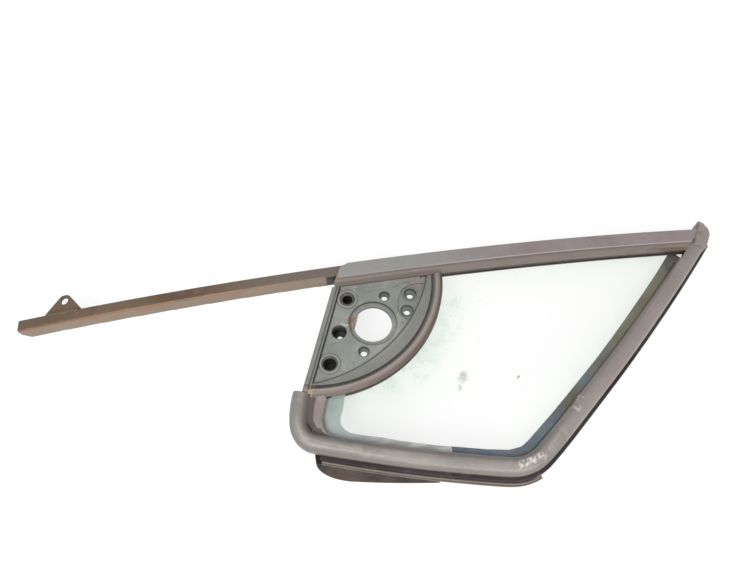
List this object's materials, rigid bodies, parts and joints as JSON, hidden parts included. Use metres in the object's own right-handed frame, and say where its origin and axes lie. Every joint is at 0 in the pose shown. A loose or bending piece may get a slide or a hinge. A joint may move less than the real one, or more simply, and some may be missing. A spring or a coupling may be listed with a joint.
{
  "type": "quarter window glass",
  "caption": "Curved quarter window pane in a moulded surround, with a mirror mounting plate and a long glass-run channel with a fixing lug.",
  "frame": {"origin": "axis of the mirror opening, at the back face of its plate", "axes": "+X along the division channel towards the pane's sharp corner, +Y towards the drop glass side, +Z out of the vehicle"},
  "size_m": [0.7538, 0.2564, 0.0517],
  "materials": {
    "channel_paint": "satin brown-grey paint, worn at the bends",
    "pane_glass": "clear, faint green tempered glass with a printed border",
    "trim_grey": "satin warm grey moulding",
    "moulding_grey": "satin taupe moulding, scuffed at the corners",
    "seal_black": "black-brown rubber",
    "lip_taupe": "ribbed taupe rubber",
    "skirt_brown": "glossy dark brown moulding",
    "surround_grey": "satin grey-brown moulding",
    "plate_grey": "greenish grey cast plate, matt",
    "insert_steel": "dark plated steel"
  },
  "bodies": {
    "root": {"division_channel": "channel_paint", "channel_lug": "channel_paint", "glass_pane": "pane_glass", "division_trim": "trim_grey", "surround_moulding": "moulding_grey", "perimeter_seal": "seal_black", "sill_lip": "lip_taupe", "lower_skirt": "skirt_brown", "plate_surround": "surround_grey", "mirror_plate": "plate_grey", "insert_upper": "insert_steel", "insert_lower": "insert_steel"}
  },
  "joints": []
}
